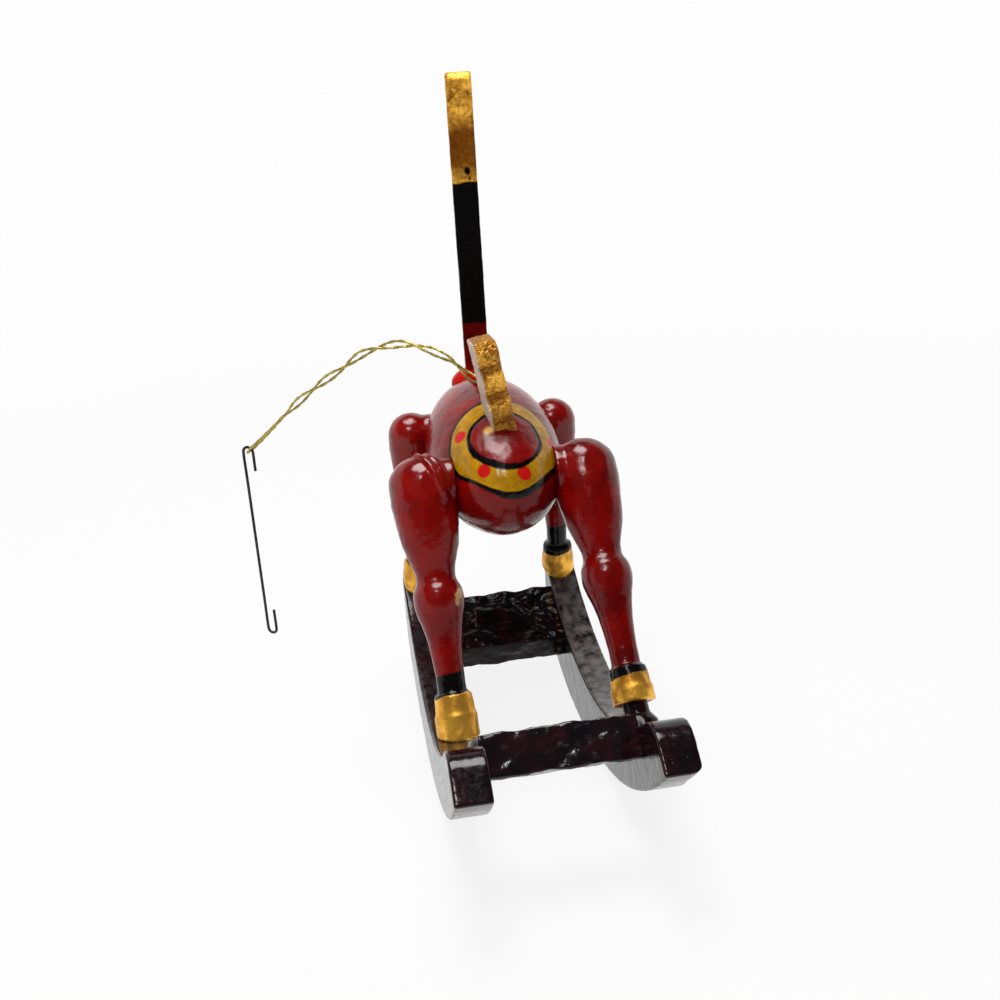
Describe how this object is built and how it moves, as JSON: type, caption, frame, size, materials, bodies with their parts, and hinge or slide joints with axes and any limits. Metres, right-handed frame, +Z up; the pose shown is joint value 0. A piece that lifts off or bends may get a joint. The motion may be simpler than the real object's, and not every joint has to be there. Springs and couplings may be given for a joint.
{
  "type": "rocking reindeer ornament",
  "caption": "Turned and painted wooden reindeer on curved rockers, a small hanging ornament with a gold thread and a wire hook.",
  "frame": {"origin": "middle of the wooden part's outline, on the surface it stands on", "axes": "+Z up, +Y the way the reindeer faces, +X to its right"},
  "size_m": [0.0715, 0.109, 0.1262],
  "materials": {
    "red_lacquer": "glossy dark red lacquer on turned wood, the lower legs black and gold",
    "neck_paint": "sawn board lacquered dark red, with a black mane and gold antlers",
    "gold_paint": "gold paint with brush marks",
    "black_lacquer": "glossy plum-black lacquer on wood",
    "bare_wood": "bare dowel",
    "gold_thread": "metallic twisted thread",
    "brass_wire": "bent brass wire",
    "dark_steel": "dark bent wire"
  },
  "bodies": {
    "ornament": {"body": "red_lacquer", "neck_board": "neck_paint", "neck_dowel": "bare_wood", "tail": "gold_paint", "tail_dowel": "bare_wood", "leg_rear_left": "red_lacquer", "leg_rear_right": "red_lacquer", "leg_front_left": "red_lacquer", "leg_front_right": "red_lacquer", "hip_dowel_rear_left": "bare_wood", "hip_dowel_rear_right": "bare_wood", "hip_dowel_front_left": "bare_wood", "hip_dowel_front_right": "bare_wood", "hoof_peg_rear_left": "black_lacquer", "hoof_peg_rear_right": "black_lacquer", "hoof_peg_front_left": "black_lacquer", "hoof_peg_front_right": "black_lacquer", "rocker_left": "black_lacquer", "rocker_right": "black_lacquer", "stretcher_rear": "black_lacquer", "stretcher_front": "black_lacquer", "hanger_eye": "brass_wire", "hanger_thread": "gold_thread"},
    "hook": {"hanger_hook": "dark_steel"}
  },
  "joints": [
    {"name": "hook_swing", "type": "hinge", "parent": "ornament", "child": "hook", "pos_m": [-0.04846, 0.04082, 0.0542], "axis": [0.4981, 0.8671, 0], "range_deg": [-30, 75]}
  ]
}
